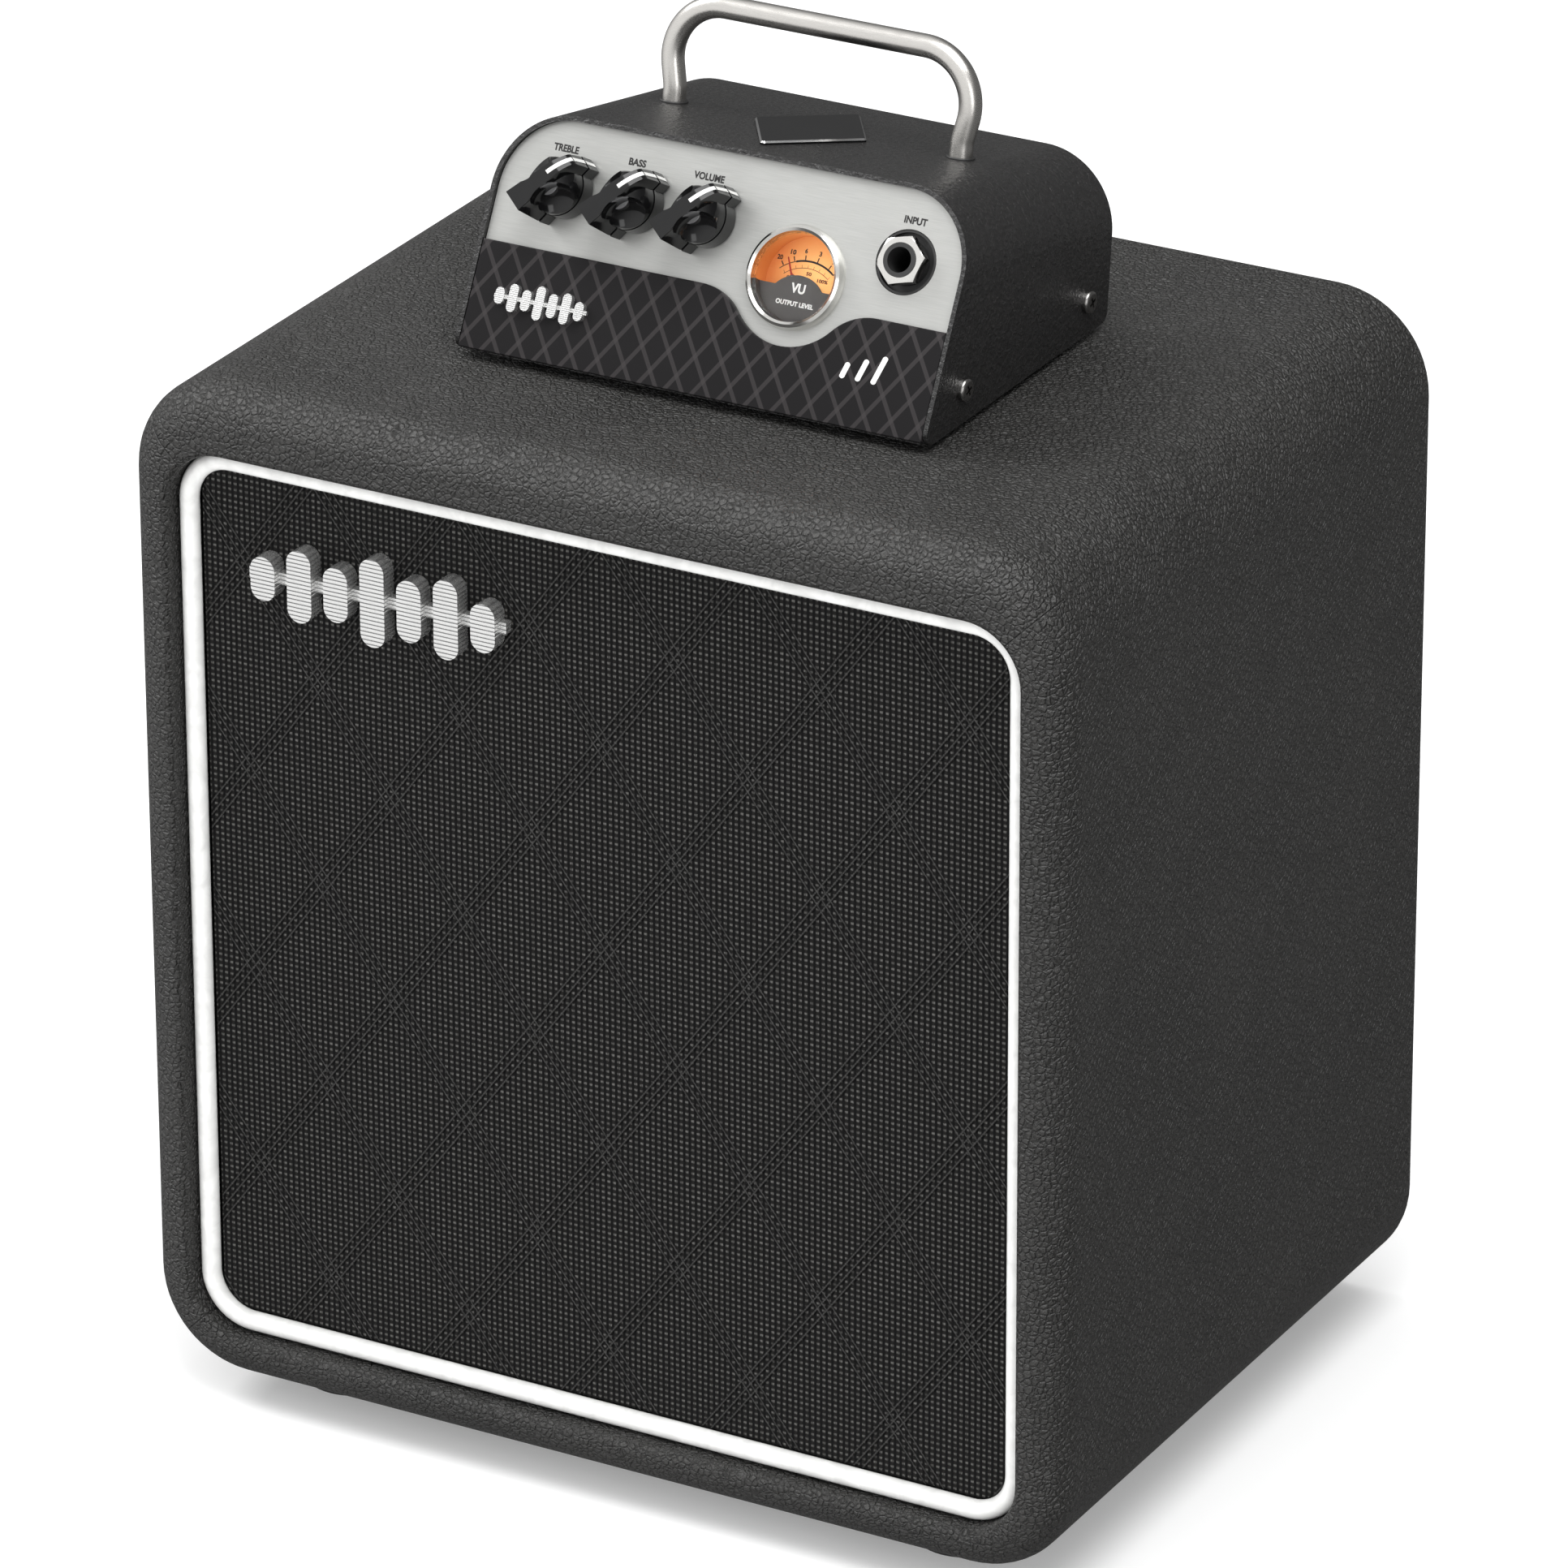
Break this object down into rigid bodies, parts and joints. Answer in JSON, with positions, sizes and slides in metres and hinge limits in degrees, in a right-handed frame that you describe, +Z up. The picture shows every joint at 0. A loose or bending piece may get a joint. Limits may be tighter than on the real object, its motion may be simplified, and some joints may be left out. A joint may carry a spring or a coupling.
{
  "type": "guitar amplifier",
  "caption": "Small slant-front metal amplifier head with knobs, a level meter and a carry handle, on a square open-back speaker cabinet with cloth grille.",
  "frame": {"origin": "on the floor under the middle of the cabinet", "axes": "+X to the player's right facing the front, +Y to the back, +Z up; the front faces -Y"},
  "size_m": [0.268, 0.205, 0.368],
  "materials": {
    "birch_ply": "bare, sealed",
    "black_paint_wood": "matt black",
    "black_vinyl": "textured vinyl, satin",
    "rubber": "matt",
    "zinc_steel": "bright zinc",
    "black_steel": "textured powder coat",
    "panel_black": "satin",
    "panel_silver": "fine satin",
    "fascia_print": "satin, printed diamonds",
    "grille_fabric": "woven",
    "white_piping": "gloss",
    "emblem_metal": "polished with black fill",
    "cone_paper": "doped paper",
    "basket_steel": "semi-gloss black",
    "ferrite": "matt",
    "copper": "enamelled wire",
    "phenolic": "resin-treated cloth",
    "black_plastic": "gloss",
    "matt_plastic": "matt",
    "wire_red": "insulated wire",
    "brushed_handle": "brushed",
    "nickel": "polished nickel",
    "lens_clear": "clear",
    "dial_card": "back-lit orange card",
    "needle_red": "red",
    "window_gloss": "gloss black",
    "circuit_board": "green solder mask",
    "capacitor_sleeve": "dark sleeve",
    "aluminium": "satin"
  },
  "bodies": {
    "cabinet": {"top_board": "birch_ply", "bottom_board": "birch_ply", "left_board": "birch_ply", "right_board": "birch_ply", "vinyl_cover": "black_vinyl", "baffle_board": "black_paint_wood", "battens": "birch_ply", "rear_panel_upper": "black_vinyl", "rear_panel_lower": "black_vinyl", "jack_plate": "black_steel", "speaker_jacks": "nickel", "wood_screws": "zinc_steel", "cabinet_feet": "rubber", "grille_frame": "birch_ply", "grille_cloth": "grille_fabric", "grille_piping": "white_piping", "cabinet_emblem": "emblem_metal", "speaker_gasket": "cone_paper", "speaker_basket": "basket_steel", "magnet_top_plate": "zinc_steel", "speaker_magnet": "ferrite", "magnet_back_plate": "zinc_steel", "speaker_surround": "cone_paper", "speaker_spider": "phenolic", "speaker_screws": "zinc_steel", "speaker_terminals": "phenolic", "speaker_leads": "wire_red"},
    "cone": {"speaker_cone": "cone_paper", "dust_cap": "cone_paper", "voice_coil": "copper"},
    "head": {"head_shell": "black_steel", "chassis_tray": "black_steel", "head_feet": "rubber", "shell_screws": "black_steel", "control_panel": "panel_silver", "front_fascia": "fascia_print", "head_emblem": "emblem_metal", "top_window": "window_gloss", "carry_handle": "brushed_handle", "handle_collars": "matt_plastic", "meter_bezel": "nickel", "meter_lens": "lens_clear", "meter_housing": "matt_plastic", "meter_dial": "dial_card", "potentiometers": "aluminium", "input_jack": "matt_plastic", "input_jack_nut": "nickel", "head_rear_panel": "panel_black", "rear_sockets": "matt_plastic", "main_board": "circuit_board", "capacitors": "capacitor_sleeve", "tube_module": "black_plastic"},
    "treble_control": {"treble_knob": "black_plastic", "treble_shaft": "aluminium"},
    "bass_control": {"bass_knob": "black_plastic", "bass_shaft": "aluminium"},
    "volume_control": {"volume_knob": "black_plastic", "volume_shaft": "aluminium"},
    "needle": {"meter_needle": "needle_red"},
    "power_switch": {"power_switch": "black_plastic"}
  },
  "joints": [
    {"name": "head_lift", "type": "slide", "parent": "cabinet", "child": "head", "axis": [0, 0, 1], "range_m": [0, 0.12]},
    {"name": "cone_travel", "type": "slide", "parent": "cabinet", "child": "cone", "axis": [0, -1, 0], "range_m": [-0.002, 0.002], "stiffness_N_per_m": 1800},
    {"name": "treble_turn", "type": "hinge", "parent": "head", "child": "treble_control", "pos_m": [-0.0448, -0.03149, 0.32905], "axis": [0, -0.8771, 0.4802], "range_deg": [-109, 191]},
    {"name": "bass_turn", "type": "hinge", "parent": "head", "child": "bass_control", "pos_m": [-0.0243, -0.03149, 0.32905], "axis": [0, -0.8771, 0.4802], "range_deg": [-109, 191]},
    {"name": "volume_turn", "type": "hinge", "parent": "head", "child": "volume_control", "pos_m": [-0.0038, -0.03149, 0.32905], "axis": [0, -0.8771, 0.4802], "range_deg": [-109, 191]},
    {"name": "needle_swing", "type": "hinge", "parent": "head", "child": "needle", "pos_m": [0.0238, -0.03597, 0.31212], "axis": [0, -0.8771, 0.4802], "range_deg": [-54, 4], "stiffness_Nm_per_rad": 0.00002},
    {"name": "switch_slide", "type": "slide", "parent": "head", "child": "power_switch", "axis": [1, 0, 0], "range_m": [0, 0.004]}
  ]
}
